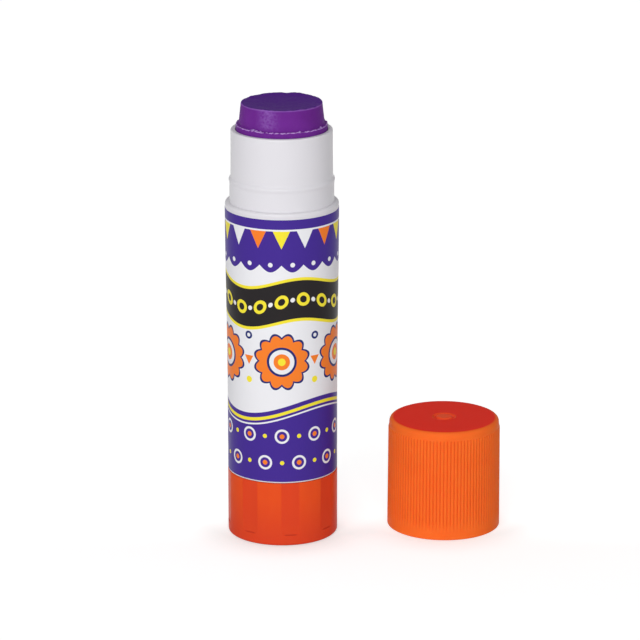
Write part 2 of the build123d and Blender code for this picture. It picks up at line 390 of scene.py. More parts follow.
def spot(count, height_over, middle, shift=0.0):
    """Distance from the middle of the nearest of a row of spots, and the two coordinates it came from."""
    across = repeated(count, shift)
    off = add(tree, "Math", {"operation": "SUBTRACT", 1: middle}, {0: height_over})
    point = add(tree, "CombineXYZ", None, {0: across, 1: off})
    length = add(tree, "VectorMath", {"operation": "LENGTH"}, {0: point}).outputs["Value"]
    return length, across, off


def less(distance, radius):
    """The distance measured from a circle of this radius."""
    return add(tree, "Math", {"operation": "SUBTRACT", 1: radius}, {0: distance})


def pennant(across, off, half_width, drop):
    """Distance to a triangle that hangs point down from off = 0."""
    side = add(tree, "Math", {"operation": "ABSOLUTE"}, {0: across})
    lean = add(tree, "Math", {"operation": "MULTIPLY_ADD", 1: -half_width / drop, 2: -half_width}, {0: off})
    slant = add(tree, "Math", {"operation": "ADD"}, {0: side, 1: lean})
    return add(tree, "Math", {"operation": "MAXIMUM"}, {0: slant, 1: off})


film_height = (film_top - film_bottom) / mm
small_dot = 0.42

# Scalloped purple band at the top, with a dot in each scallop. Sizes on the film are in millimetres.
scallops = 16
scallop_level = film_height - 9.6
scallop_rise = 1.3
scallop_dot_level = scallop_level + 1.35
scallop_turn = add(tree, "Math", {"operation": "MULTIPLY", 1: scallops / 2}, {0: turn})
scallop_sine = add(tree, "Math", {"operation": "SINE"}, {0: scallop_turn})
scallop_size = add(tree, "Math", {"operation": "ABSOLUTE"}, {0: scallop_sine})
scallop_fall = {"operation": "MULTIPLY_ADD", 1: -scallop_rise, 2: scallop_level + scallop_rise}
scallop_line = add(tree, "Math", scallop_fall, {0: scallop_size})
under_top = add(tree, "Math", {"operation": "SUBTRACT"}, {0: scallop_line, 1: up_mm})
film = printed(ink_purple, under_top)
dot, _, _ = spot(scallops, up_mm, scallop_dot_level, 0.5)
film = printed(film_white, less(dot, small_dot))

# Pennants in three inks on a white string, on that band
pennants_of_an_ink = 5
pennant_level = film_height - 2.0
pennant_half_width = 1.55
pennant_drop = 3.3
string_level = film_height - 1.9
string_half_width = 0.16
for ink, shift in ((ink_yellow, 0.0), (film_white, 1 / 3), (ink_orange, 2 / 3)):
    across = repeated(pennants_of_an_ink, shift)
    off = add(tree, "Math", {"operation": "SUBTRACT", 1: pennant_level}, {0: up_mm})
    film = printed(ink, pennant(across, off, pennant_half_width, pennant_drop))
film = printed(film_white, band(up_mm, string_level, string_half_width))

# Charcoal ribbon that waves round the white, edged in yellow, with a row of rings and dots
ribbon_level = 33.2
ribbon_swing = 1.0
ribbon_waves = 3
ribbon_phase = 0.6
ribbon_half_width = 3.5
ribbon_edging = 0.55
ribbon_rings = 16
ring_radius = 1.25
ring_hole = 0.65
ribbon = above(wave(ribbon_level, ribbon_swing, ribbon_waves, ribbon_phase))
film = printed(ink_yellow, band(ribbon, 0.0, ribbon_half_width + ribbon_edging))
film = printed(ink_charcoal, band(ribbon, 0.0, ribbon_half_width))
dot, _, _ = spot(ribbon_rings, ribbon, 0.0)
film = printed(ink_yellow, less(dot, ring_radius))
film = printed(ink_charcoal, less(dot, ring_hole))
dot, _, _ = spot(ribbon_rings, ribbon, 0.0, 0.5)
film = printed(film_white, less(dot, small_dot))

# Purple foot with a gentle wave, and a yellow and a white line along it
foot_level = 14.0
foot_swing = 1.5
foot_waves = 2
foot_line = above(wave(foot_level, foot_swing, foot_waves))
film = printed(ink_purple, foot_line)
for ink, level, half_width in ((ink_yellow, -1.15, 0.3), (film_white, -2.05, 0.15)):
    film = printed(ink, band(foot_line, level, half_width))

# Rosettes of twelve petals between ribbon and foot, each with a ring and an eye
rosettes = 5
rosette_level = 22.6
petals_each = 12
petal_root = 4.15
petal_length = 0.85
petal_outline = 0.42
far, across, off = spot(rosettes, up_mm, rosette_level)
petal_turn = add(tree, "Math", {"operation": "ARCTAN2"}, {0: across, 1: off})
petal_phase = add(tree, "Math", {"operation": "MULTIPLY", 1: petals_each / 2}, {0: petal_turn})
petal_sine = add(tree, "Math", {"operation": "SINE"}, {0: petal_phase})
petal_size = add(tree, "Math", {"operation": "ABSOLUTE"}, {0: petal_sine})
petal_edge = {"operation": "MULTIPLY_ADD", 1: -petal_length, 2: -petal_root}
petal_edge = add(tree, "Math", petal_edge, {0: petal_size})
petals = add(tree, "Math", {"operation": "ADD"}, {0: far, 1: petal_edge})
film = printed(ink_navy, less(petals, petal_outline))
film = printed(ink_orange, petals)
for ink, radius in ((ink_navy, 2.75), (film_white, 2.3), (ink_orange, 1.5), (ink_yellow, 0.7)):
    film = printed(ink, less(far, radius))

# Small scraps between the rosettes: a ring, a pennant and a dot, from the top down
ring_level = 27.2
scrap_level = 23.4
dot_level = 18.9
dot, _, _ = spot(rosettes, up_mm, ring_level, 0.5)
film = printed(ink_navy, less(dot, 0.75))
film = printed(film_white, less(dot, 0.35))
_, across, off = spot(rosettes, up_mm, scrap_level, 0.5)
film = printed(ink_orange, pennant(across, off, 0.95, 1.7))
dot, _, _ = spot(rosettes, up_mm, dot_level, 0.5)
film = printed(ink_yellow, less(dot, 0.6))

# Two rows of rings and dots on the purple foot, one half a step round from the other
foot_rings = 10
for level, shift in ((8.6, 0.0), (3.6, 0.5)):
    ring, _, _ = spot(foot_rings, up_mm, level, shift)
    for ink, radius in ((film_white, 1.35), (ink_purple, 0.95), (ink_orange, 0.45)):
        film = printed(ink, less(ring, radius))
    dot, _, _ = spot(foot_rings, up_mm, level, shift + 0.5)
    film = printed(ink_yellow, less(dot, 0.4))

tree.links.new(film, shader.inputs["Base Color"])
ripple_size = 7 * mm
ripple = add(tree, "TexNoise", {"Scale": 1 / ripple_size, "Detail": 2.0}, {"Vector": where.outputs["Object"]})
relief = add(tree, "Bump", {"Strength": 0.4, "Distance": 0.05 * mm}, {"Height": ripple})
tree.links.new(relief.outputs["Normal"], shader.inputs["Normal"])
label.data.materials.append(printed_film)

# Twist base: the knob turned by hand, a cup with eight shallow grip flats that end just above its foot.
# Polypropylene again, in orange and from a polished mould. The lift screw is pressed into its socket.

base_radius = 10.0 * mm
base_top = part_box("twist_base")[1].z
base_inner = 8.8 * mm
base_floor = 1.4 * mm
foot_inner = 8.6 * mm
foot_recess = 0.4 * mm
pad_radius = 2.6 * mm
socket_radius = 2.45 * mm
socket_outer = 3.9 * mm
socket_top = 8.9 * mm
floor_round = 0.4 * mm
base_rim_round = 0.15 * mm
base_top_round = 0.2 * mm
base_foot_round = 0.5 * mm
foot_inner_round = 0.15 * mm
pad_round = 0.1 * mm
wall_row = 1 * mm
base_columns = 288
flat_count = 8
flat_width = 3.3 * mm
flat_turn = math.radians(8.6)
flat_start = 1.95 * mm
flat_ledge = 0.16 * mm
flat_half_angle = math.asin(flat_width / 2 / base_radius)
flat_distance = base_radius * math.cos(flat_half_angle)


def with_flats(angle, radius, height):
    """Cuts the grip flats, each ending in a small ledge."""
    half_step = math.pi / flat_count
    off = (angle - flat_turn + half_step) % (2 * half_step) - half_step
    if radius > (base_inner + base_radius) / 2 and abs(off) < flat_half_angle:
        depth = eased((height - flat_start) / flat_ledge)
        cut = flat_distance / math.cos(off)
        return radius - max(0.0, radius - cut) * depth, height
    return radius, height


flat_edges = []
for i in range(flat_count):
    flat_middle = flat_turn + 2 * math.pi * i / flat_count
    for side in (-1, 1):
        flat_edges.append((flat_middle + side * flat_half_angle) % (2 * math.pi))

knob = [
    (0, base_floor, 0), (socket_radius, base_floor, 0), (socket_radius, socket_top, 0),
    (socket_outer, socket_top, base_top_round), (socket_outer, base_floor, 0),
    (base_inner, base_floor, floor_round), (base_inner, base_top, base_rim_round),
    (base_radius, base_top, base_top_round),
]
knob += [(base_radius, z, 0) for z in heights(base_top - wall_row, flat_start + wall_row, wall_row)]
ledge_shares = (2.0, 1.0, 0.75, 0.5, 0.25, 0.0, -0.5)
knob += [(base_radius, flat_start + flat_ledge * share, 0) for share in ledge_shares]
knob += [
    (base_radius, 0, base_foot_round), (foot_inner, 0, foot_inner_round),
    (foot_inner, foot_recess, pad_round),
    (pad_radius, foot_recess, pad_round), (pad_radius, 0, pad_round), (0, 0, 0),
]
twist_base = turned("twist_base_knob", rounded(knob), round_the_axis(base_columns, flat_edges), with_flats)
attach(twist_base, "base")
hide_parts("twist_base")

# Orange polypropylene from a polished mould: even sheen and faint flow lines, with painted shade: redder
# flats, a painted shadow line at each ledge, and redder towards the foot.
base_orange = "#E64F25"
wall_oranges = ("#E14D24", "#E95725")
flat_painted_shades = ("#DA4426", "#E04A27")
ledge_painted_shadow = "#C03A22"
foot_painted_shade = "#D84628"
foot_shade_start_z = 9 * mm
flat_fade = 2 * mm
flow_size = 2.5 * mm
flow_draw = (1.0, 1.0, 0.15)
orange_gloss, tree, shader = surface("polished polypropylene orange", {
    "Base Color": linear(base_orange),
    "Roughness": 0.28,
    "IOR": 1.49,
    "Specular IOR Level": 0.012,
    "Subsurface Weight": 0.15,
    "Subsurface Scale": 1 * mm,
    "Subsurface Radius": (1.0, 0.3, 0.1),
})
where = add(tree, "TexCoord")
stretch = add(tree, "Mapping", {"Scale": flow_draw}, {"Vector": where.outputs["Object"]})
flow = add(tree, "TexNoise", {"Scale": 1 / flow_size, "Detail": 2.0}, {"Vector": stretch})
place = add(tree, "SeparateXYZ", None, {0: where.outputs["Object"]})

# Painted shade: a little redder on the flats
ahead = add(tree, "Math", {"operation": "MULTIPLY", 1: -1.0}, {0: place.outputs["Y"]})
turn = add(tree, "Math", {"operation": "ARCTAN2"}, {0: place.outputs["X"], 1: ahead})
turn = add(tree, "Math", {"operation": "SUBTRACT", 1: flat_turn}, {0: turn})
to_flat = {"operation": "WRAP", 1: math.pi / flat_count, 2: -math.pi / flat_count}
off = add(tree, "Math", to_flat, {0: turn})
off = add(tree, "Math", {"operation": "ABSOLUTE"}, {0: off})
edge = {"From Min": flat_half_angle * 1.12, "From Max": flat_half_angle * 0.9}
flat_shade_share = add(tree, "MapRange", edge, {"Value": off})
fade_in = {"From Min": flat_start, "From Max": flat_start + flat_fade}
fade_in = add(tree, "MapRange", fade_in, {"Value": place.outputs["Z"]})
flat_shade_share = add(tree, "Math", {"operation": "MULTIPLY"}, {0: flat_shade_share, 1: fade_in})
shades = []
for darker, lighter in (wall_oranges, flat_painted_shades):
    shade = {"data_type": "RGBA", 6: linear(darker), 7: linear(lighter)}
    shades.append(add(tree, "Mix", shade, {0: flow}).outputs[2])
tint = add(tree, "Mix", {"data_type": "RGBA"}, {0: flat_shade_share, 6: shades[0], 7: shades[1]})

# Painted shade: redder towards the foot, and a painted shadow line along each ledge
foot_shade = {"From Min": foot_shade_start_z, "From Max": base_floor}
foot_shade = add(tree, "MapRange", foot_shade, {"Value": place.outputs["Z"]})
tint = add(tree, "Mix", {"data_type": "RGBA", 7: linear(foot_painted_shade)}, {0: foot_shade, 6: tint.outputs[2]})
# Painted shadow: a dark line along each ledge, across the middle of each flat
lens = {"From Min": flat_half_angle * 0.85, "From Max": flat_half_angle * 0.5}
lens = add(tree, "MapRange", lens, {"Value": off})
from_ledge = {"operation": "SUBTRACT", 1: flat_start + flat_ledge / 2}
level = add(tree, "Math", from_ledge, {0: place.outputs["Z"]})
level = add(tree, "Math", {"operation": "ABSOLUTE"}, {0: level})
line = {"From Min": flat_ledge * 0.9, "From Max": flat_ledge * 0.5}
line = add(tree, "MapRange", line, {"Value": level})
line = add(tree, "Math", {"operation": "MULTIPLY"}, {0: line, 1: lens})
tint = add(tree, "Mix", {"data_type": "RGBA", 7: linear(ledge_painted_shadow)}, {0: line, 6: tint.outputs[2]})
tree.links.new(tint.outputs[2], shader.inputs["Base Color"])
relief = add(tree, "Bump", {"Strength": 0.3, "Distance": 0.02 * mm}, {"Height": flow})
tree.links.new(relief.outputs["Normal"], shader.inputs["Normal"])
twist_base.data.materials.append(orange_gloss)

# Lift screw and glue carrier: the coarse spindle pressed into the base, and the keyed cup that climbs it.
# Uncoloured polypropylene straight from the mould, milky and satin. Nobody sees them until the glue is gone.

natural_white = "#E2E1DC"
natural_pp, tree, shader = surface("moulded polypropylene natural", {
    "Base Color": linear(natural_white),
    "Roughness": 0.42,
    "IOR": 1.49,
    "Subsurface Weight": 0.2,
    "Subsurface Scale": 1.5 * mm,
    "Subsurface Radius": (1.0, 0.95, 0.85),
})
where = add(tree, "TexCoord")
peel = add(tree, "TexNoise", {"Scale": 1 / peel_size, "Detail": 3.0}, {"Vector": where.outputs["Object"]})
relief = add(tree, "Bump", {"Strength": 0.3, "Distance": 0.015 * mm}, {"Height": peel})
tree.links.new(relief.outputs["Normal"], shader.inputs["Normal"])
for name in ("lift_screw", "glue_carrier"):
    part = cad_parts[name]
    part.data.materials.clear()
    part.data.materials.append(natural_pp)

# Glue column: the stick of purple glue, cast hot in the barrel and wound up a little.
# A soft wax-like soap. Its end was shaped by the cap's ring, which left a collar with a ragged torn edge.

glue_radius = 8.22 * mm
glue_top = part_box("glue_column")[1].z
collar_z = 76.4 * mm
collar_round = 0.12 * mm
end_foot_radius = 7.68 * mm
end_foot_round = 0.16 * mm
end_top_radius = 7.28 * mm
end_top_round = 0.14 * mm
dish_radius = 6.9 * mm
dish_depth = 0.3 * mm
cup_foot_z = 49.4 * mm
cup_top_z = 52.4 * mm
cup_radius = 7.23 * mm
hole_radius = 3.25 * mm
hole_top_z = 73.5 * mm
groove_top_z = 74.35 * mm
groove_floor_radius = 7.7 * mm
groove_half_width = 0.65 * mm
groove_half_angle = math.asin(groove_half_width / glue_radius)
groove_end_slope = 0.01 * mm
stick_row = 4 * mm
collar_row = 0.25 * mm
end_row = 0.3 * mm
dish_row = 0.45 * mm
glue_columns = 480

# Unevenness of the end: how far it stands out, and how wide its waves are.
lip_height = 0.45 * mm
lip_inner_radius = 5.2 * mm
lip_width = 1.9 * mm
lip_wave = 0.09 * mm
lip_wave_size = 2.2 * mm
lip_nick = 0.06 * mm
lip_nick_size = 0.7 * mm
lip_swell = 0.07 * mm
lip_swell_size = 2 * mm
face_wave = 0.04 * mm
side_wave = 0.03 * mm
side_wave_size = 2.5 * mm
side_wave_height = 3 * mm
collar_zone = 0.2 * mm
collar_tear = 0.13 * mm
collar_tear_size = 0.9 * mm
collar_nick = 0.11 * mm
collar_nick_size = 0.35 * mm

# Where the lip was dragged up: degrees from the front, half width in radians, rise and bulge.
lip_drags = (
    (140, 0.5, 0.12 * mm, 0.12 * mm),
    (192, 0.6, 0.13 * mm, 0),
    (159, 0.13, 0.09 * mm, 0),
)


def rough(angle, seed, size, radius=glue_radius):
    """Unevenness round the glue, from -1 to 1, that repeats after one turn."""
    point = Vector((math.sin(angle), -math.cos(angle), 0)) * radius / size
    return noise.noise(point + Vector((0, 0, seed)))


def torn(angle, radius, height):
    """Shapes the glue's end: uneven dish and lip, torn collar edge, grooves left by the barrel's keys."""
    if cup_foot_z < height < groove_top_z and radius > (cup_radius + glue_radius) / 2:
        return (groove_floor_radius if off_key(angle) < groove_half_angle else radius), height
    if height > glue_top - lip_height:
        rim = eased((radius - lip_inner_radius) / lip_width)
        lift = lip_wave * rough(angle, 1, lip_wave_size) + lip_nick * rough(angle, 2, lip_nick_size)
        swell = lip_swell * rough(angle, 3, lip_swell_size)
        for middle, spread, rise, bulge in lip_drags:
            away = math.remainder(angle - math.radians(middle), 2 * math.pi)
            share = math.exp(-((away / spread) ** 2))
            lift += rise * share
            swell += bulge * share
        here = Vector((radius * math.sin(angle), radius * math.cos(angle), 0)) / lip_wave_size
        return radius + swell * rim, height + lift * rim + face_wave * noise.noise(here) * (1 - rim)
    if abs(height - collar_z) < collar_zone and radius > (end_foot_radius + glue_radius) / 2:
        tear = collar_tear * rough(angle, 5, collar_tear_size)
        tear += collar_nick * rough(angle, 6, collar_nick_size)
        return radius + 0.6 * tear, height + tear
    if height > collar_z:
        drift = 4 + height / side_wave_height
        return radius + side_wave * rough(angle, drift, side_wave_size), height
    return radius, height


def end_radius(height):
    """Radius of the tapered end."""
    share = (height - collar_z) / (glue_top - collar_z)
    return end_foot_radius + (end_top_radius - end_foot_radius) * share


column = [
    (hole_radius, cup_foot_z, 0), (cup_radius, cup_foot_z, 0), (cup_radius, cup_top_z, 0),
    (glue_radius, cup_top_z, 0),
]
stick_z = heights(cup_top_z + stick_row / 2, groove_top_z - stick_row / 2, stick_row)
column += [(glue_radius, z, 0) for z in stick_z]
column += [
    (glue_radius, groove_top_z - groove_end_slope, 0),
    (glue_radius, groove_top_z + 2 * groove_end_slope, 0),
]
collar_rows = heights(groove_top_z + end_row, collar_z - end_row, collar_row)
column += [(glue_radius, z, 0) for z in collar_rows]
column += [(glue_radius, collar_z, collar_round), (end_foot_radius, collar_z, end_foot_round)]
end_rows = heights(collar_z + 0.4 * mm, glue_top - 0.5 * mm, end_row)
column += [(end_radius(z), z, 0) for z in end_rows]
column.append((end_top_radius, glue_top, end_top_round))
for radius in heights(dish_radius, 0.6 * mm, dish_row):
    column.append((radius, glue_top - dish_depth * (1 - (radius / dish_radius) ** 2), 0))
column += [(0, glue_top - dish_depth, 0), (0, hole_top_z, 0), (hole_radius, hole_top_z, 0)]
glue = turned("glue_stick", rounded(column), round_the_axis(glue_columns), torn)
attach(glue, "glue")
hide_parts("glue_column")

# Purple glue: waxy and slightly see-through, with a mottled half-gloss skin, a painted darker end face, a
# painted highlight on the end's rim and side, and paler where torn.
glue_deep = "#632480"
glue_mid = "#743096"
glue_pale = "#BE98D6"
glue_painted_highlight = "#9A6CC0"
glue_face_painted_shade = "#532486"
highlight_turn = math.radians(-18.6)
highlight_half_width = math.radians(13)
cloud_size = 4 * mm
skin_size = 0.45 * mm
tear_size = 0.5 * mm
wax, tree, shader = surface("cast glue purple", {
    "Roughness": 0.42,
    "IOR": 1.45,
    "Specular IOR Level": 0.02,
    "Subsurface Weight": 0.2,
    "Subsurface Scale": 1 * mm,
    "Subsurface Radius": (0.7, 0.3, 1.0),
})
where = add(tree, "TexCoord")
place = add(tree, "SeparateXYZ", None, {0: where.outputs["Object"]})
flat = add(tree, "CombineXYZ", None, {0: place.outputs["X"], 1: place.outputs["Y"]})
out = add(tree, "VectorMath", {"operation": "LENGTH"}, {0: flat})
cloud = add(tree, "TexNoise", {"Scale": 1 / cloud_size, "Detail": 4.0}, {"Vector": where.outputs["Object"]})
skin = add(tree, "TexNoise", {"Scale": 1 / skin_size, "Detail": 3.0}, {"Vector": where.outputs["Object"]})
body = add(tree, "Mix", {"data_type": "RGBA", 6: linear(glue_deep), 7: linear(glue_mid)}, {0: cloud})

# Painted shade: the end face is darker; painted highlight: its rim is paler
face_shade_top = {"From Min": glue_top - 0.5 * mm, "From Max": glue_top - 0.35 * mm}
face_shade_top = add(tree, "MapRange", face_shade_top, {"Value": place.outputs["Z"]})
face_shade_inside = {"From Min": 7.3 * mm, "From Max": 7.1 * mm}
face_shade_inside = add(tree, "MapRange", face_shade_inside, {"Value": out.outputs["Value"]})
face = add(tree, "Math", {"operation": "MULTIPLY"}, {0: face_shade_top, 1: face_shade_inside})
body = add(tree, "Mix", {"data_type": "RGBA", 7: linear(glue_face_painted_shade)}, {0: face, 6: body.outputs[2]})
rim_highlight_top = {"From Min": glue_top - 0.26 * mm, "From Max": glue_top - 0.14 * mm}
rim_highlight_top = add(tree, "MapRange", rim_highlight_top, {"Value": place.outputs["Z"]})
rim_highlight_outside = {"From Min": 7.12 * mm, "From Max": 7.26 * mm, "To Max": 0.45}
rim_highlight_outside = add(tree, "MapRange", rim_highlight_outside, {"Value": out.outputs["Value"]})
rim = add(tree, "Math", {"operation": "MULTIPLY"}, {0: rim_highlight_top, 1: rim_highlight_outside})
body = add(tree, "Mix", {"data_type": "RGBA", 7: linear(glue_painted_highlight)}, {0: rim, 6: body.outputs[2]})

# Painted highlight: a pale grainy patch on the side of the end, fading out all round
ahead = add(tree, "Math", {"operation": "MULTIPLY", 1: -1.0}, {0: place.outputs["Y"]})
turn = add(tree, "Math", {"operation": "ARCTAN2"}, {0: place.outputs["X"], 1: ahead})
aside = add(tree, "Math", {"operation": "SUBTRACT", 1: highlight_turn}, {0: turn})
aside = add(tree, "Math", {"operation": "ABSOLUTE"}, {0: aside})
side_highlight_patch = {
    "interpolation_type": "SMOOTHSTEP",
    "From Min": 1.6 * highlight_half_width,
    "From Max": 0.0,
    "To Max": 0.9,
}
side_highlight = add(tree, "MapRange", side_highlight_patch, {"Value": aside})
above_collar = {"From Min": collar_z, "From Max": collar_z + 0.8 * mm}
above_collar = add(tree, "MapRange", above_collar, {"Value": place.outputs["Z"]})
on_side = {"From Min": 7.1 * mm, "From Max": 7.25 * mm}
on_side = add(tree, "MapRange", on_side, {"Value": out.outputs["Value"]})
grain = add(tree, "MapRange", {"From Min": 0.25, "From Max": 0.7, "To Max": 0.6}, {"Value": skin})
for share in (above_collar, on_side, grain):
    side_highlight = add(tree, "Math", {"operation": "MULTIPLY"}, {0: side_highlight, 1: share})
body = add(tree, "Mix", {"data_type": "RGBA", 7: linear(glue_painted_highlight)}, {0: side_highlight, 6: body.outputs[2]})

# A pale torn line along the collar's edge, ragged and broken by gaps
tear = {"Scale": 1 / tear_size, "Detail": 5.0, "Roughness": 0.7}
tear = add(tree, "TexNoise", tear, {"Vector": where.outputs["Object"]})
tear_height = {"operation": "MULTIPLY_ADD", 1: 0.7 * mm, 2: collar_z - 0.4 * mm}
tear_height = add(tree, "Math", tear_height, {0: tear})
off = add(tree, "Math", {"operation": "SUBTRACT"}, {0: place.outputs["Z"], 1: tear_height})
off = add(tree, "Math", {"operation": "ABSOLUTE"}, {0: off})
line = add(tree, "MapRange", {"From Min": 0.11 * mm, "From Max": 0.04 * mm}, {"Value": off})
gaps = add(tree, "MapRange", {"From Min": 0.32, "From Max": 0.5}, {"Value": skin})
at_edge = {"From Min": 8.0 * mm, "From Max": 8.06 * mm}
at_edge = add(tree, "MapRange", at_edge, {"Value": out.outputs["Value"]})
for share in (gaps, at_edge):
    line = add(tree, "Math", {"operation": "MULTIPLY"}, {0: line, 1: share})
body = add(tree, "Mix", {"data_type": "RGBA", 7: linear(glue_pale)}, {0: line, 6: body.outputs[2]})
tree.links.new(body.outputs[2], shader.inputs["Base Color"])
gloss = add(tree, "MapRange", {"To Min": 0.34, "To Max": 0.6}, {"Value": skin})
tree.links.new(gloss.outputs["Result"], shader.inputs["Roughness"])
relief = add(tree, "Bump", {"Strength": 0.5, "Distance": 0.06 * mm}, {"Height": skin})
tree.links.new(relief.outputs["Normal"], shader.inputs["Normal"])
glue.data.materials.append(wax)

# Crumbs: bits of glue torn off by the cap's ring, still stuck to the collar. Degrees from the front, distance
# from the axis and size in millimetres.
crumb_places = (
    (-38, 7.95, 0.2), (-33, 8.05, 0.16), (-41, 8.02, 0.12),
    (-27, 8.0, 0.13), (24, 8.03, 0.14), (61, 7.97, 0.15),
)
crumb_lump = 0.5
crumb_lump_size = 0.12 * mm
crumb_stretch = Vector((1.3, 1.1, 0.8))
crumb_grain = 0.2 * mm
crumb_mid = "#A276C6"
crumb_deep = "#8450AE"
crumb_pale = "#C3A0DA"
crumbs = bmesh.new()
for degrees, radius, size in crumb_places:
    angle = math.radians(degrees)
    height = collar_z / mm + size / 2
    middle = Vector((radius * math.sin(angle), -radius * math.cos(angle), height)) * mm
    made = bmesh.ops.create_icosphere(crumbs, subdivisions=3, radius=size * mm)["verts"]
    for vert in made:
        lump = 1 + crumb_lump * noise.noise(vert.co / crumb_lump_size + Vector((degrees, 0, 0)))
        vert.co = middle + vert.co * crumb_stretch * lump
mesh = bpy.data.meshes.new("glue_crumbs")
crumbs.to_mesh(mesh)
crumbs.free()
glue_crumbs = placed(mesh)
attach(glue_crumbs, "glue")
crumb_wax, tree, shader = surface("torn glue pale", {
    "Base Color": linear(crumb_mid),
    "Roughness": 0.5,
    "IOR": 1.45,
})
where = add(tree, "TexCoord")
grain = add(tree, "TexNoise", {"Scale": 1 / crumb_grain, "Detail": 3.0}, {"Vector": where.outputs["Object"]})
tint = add(tree, "Mix", {"data_type": "RGBA", 6: linear(crumb_deep), 7: linear(crumb_pale)}, {0: grain})
tree.links.new(tint.outputs[2], shader.inputs["Base Color"])
glue_crumbs.data.materials.append(crumb_wax)

# Cap: pushed over the neck, where its groove snaps past the bead. Here it stands on its mouth, off the stick.
# Orange polypropylene, a little softer in gloss than the base, with fine ribs and a gate mark on top.

cap_low, cap_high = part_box("cap")
cap_centre = ((cap_low.x + cap_high.x) / 2, (cap_low.y + cap_high.y) / 2)
cap_top_z = cap_high.z
cap_top_round = 0.95 * mm
cap_band_radius = 10.07 * mm
cap_mouth_radius = 10.34 * mm
cap_mouth_band = 0.8 * mm
cap_mouth_outer_round = 0.18 * mm
cap_mouth_inner_round = 0.15 * mm
cap_rib_count = 100
points_per_rib = 8
cap_rib_stand = 0.15 * mm
cap_rib_start = 1.3 * mm
cap_rib_run_in = 2.2 * mm
cap_rib_end = cap_top_z - 1.55 * mm
cap_rib_end_round = 0.12 * mm
cap_rib_run_out = 0.3 * mm
cap_lower_bore = 9.52 * mm
cap_lower_bore_end = 3.5 * mm
cap_groove = 9.61 * mm
cap_groove_start = 3.75 * mm
cap_groove_end = 4.25 * mm
cap_upper_bore = 9.25 * mm
cap_upper_bore_start = 5.2 * mm
cap_bore_round = 0.3 * mm
cap_ceiling = cap_top_z - 1.15 * mm
cap_ceiling_round = 0.4 * mm
cap_inside_limit = cap_upper_bore + 0.5 * mm
cap_ring_outside = 8.2 * mm
cap_ring_inside = cap_ring_outside - 0.85 * mm
cap_ring_end = 12.0 * mm
cap_ring_round = 0.2 * mm


def up_the_ribs(height):
    """0 where the ribs start and 1 where they end."""
    return (height - cap_rib_start) / (cap_rib_end - cap_rib_start)


def with_ribs(angle, radius, height):
    """Raises the ribs: round crests and narrow valleys, dying out in a round top and towards the mouth."""
    if radius < cap_inside_limit or height < cap_rib_start or height > cap_rib_end + 0.01 * mm:
        return radius, height
    off = 2 * abs((angle * cap_rib_count / (2 * math.pi) + 0.5) % 1 - 0.5)
    valley = off ** 3 * eased((height - cap_rib_start) / cap_rib_run_in)
    end = cap_rib_end - cap_rib_end_round * off * off
    run_out = min(max((end - height) / cap_rib_run_out, 0), 1) ** 0.5
    stand = cap_rib_stand * min(up_the_ribs(height), 1)
    return radius + (stand - cap_rib_stand * valley) * run_out, height


def cap_side(height):
    """Outer radius under the ribs, with the mould's draft."""
    return cap_mouth_radius + (cap_band_radius - cap_mouth_radius) * up_the_ribs(height)


# Profile from the top's middle down the outside: the gate mark's nub and dish, the plate and the smooth band
gate_radius = 2.1 * mm
gate_lean = 0.1 * mm
gate_foot_round = 0.2 * mm
gate_edge_round = 0.14 * mm
gate_floor = cap_top_z - 0.24 * mm
nub_top = gate_floor + 0.3 * mm
nub_radius = 1.3 * mm
nub_round = 0.3 * mm
nub_foot = 0.25 * mm
shell = [
    (0, nub_top, 0),
    (0.5 * mm, nub_top, 0),
    (nub_radius, nub_top, nub_round),
    (nub_radius + nub_foot, gate_floor, nub_foot),
    (gate_radius - gate_lean, gate_floor, gate_foot_round),
    (gate_radius, cap_top_z, gate_edge_round),
    (gate_radius + 1.5 * mm, cap_top_z, 0),
    (cap_band_radius, cap_top_z, cap_top_round),
]
band_rows = heights(cap_top_z - 1.35 * mm, cap_rib_end + 0.1 * mm, 0.3 * mm)
shell += [(cap_band_radius, z, 0) for z in band_rows]

# Down the ribs, with close rows where they end, and then round the mouth and up the inside
rib_rows = heights(cap_rib_end, cap_rib_end - 0.6 * mm, 0.04 * mm)
rib_rows += heights(cap_rib_end - 1 * mm, cap_rib_start, 0.5 * mm)
shell += [(cap_side(z), z, 0) for z in rib_rows]
shell += [
    (cap_mouth_radius, cap_mouth_band, 0),
    (cap_mouth_radius, 0, cap_mouth_outer_round),
    (cap_lower_bore, 0, cap_mouth_inner_round),
    (cap_lower_bore, cap_lower_bore_end, 0),
    (cap_groove, cap_groove_start, 0),
    (cap_groove, cap_groove_end, 0),
    (cap_upper_bore, cap_upper_bore_start, cap_bore_round),
    (cap_upper_bore, cap_ceiling, cap_ceiling_round),
    (cap_ring_outside, cap_ceiling, cap_ring_round),
    (cap_ring_outside, cap_ring_end, cap_ring_round),
    (cap_ring_inside, cap_ring_end, cap_ring_round),
    (cap_ring_inside, cap_ceiling, cap_ring_round),
    (0, cap_ceiling, 0),
]
cap_turns = round_the_axis(cap_rib_count * points_per_rib)
cap = turned("cap_shell", rounded(shell), cap_turns, with_ribs, cap_centre)
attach(cap, "cap")
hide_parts("cap")

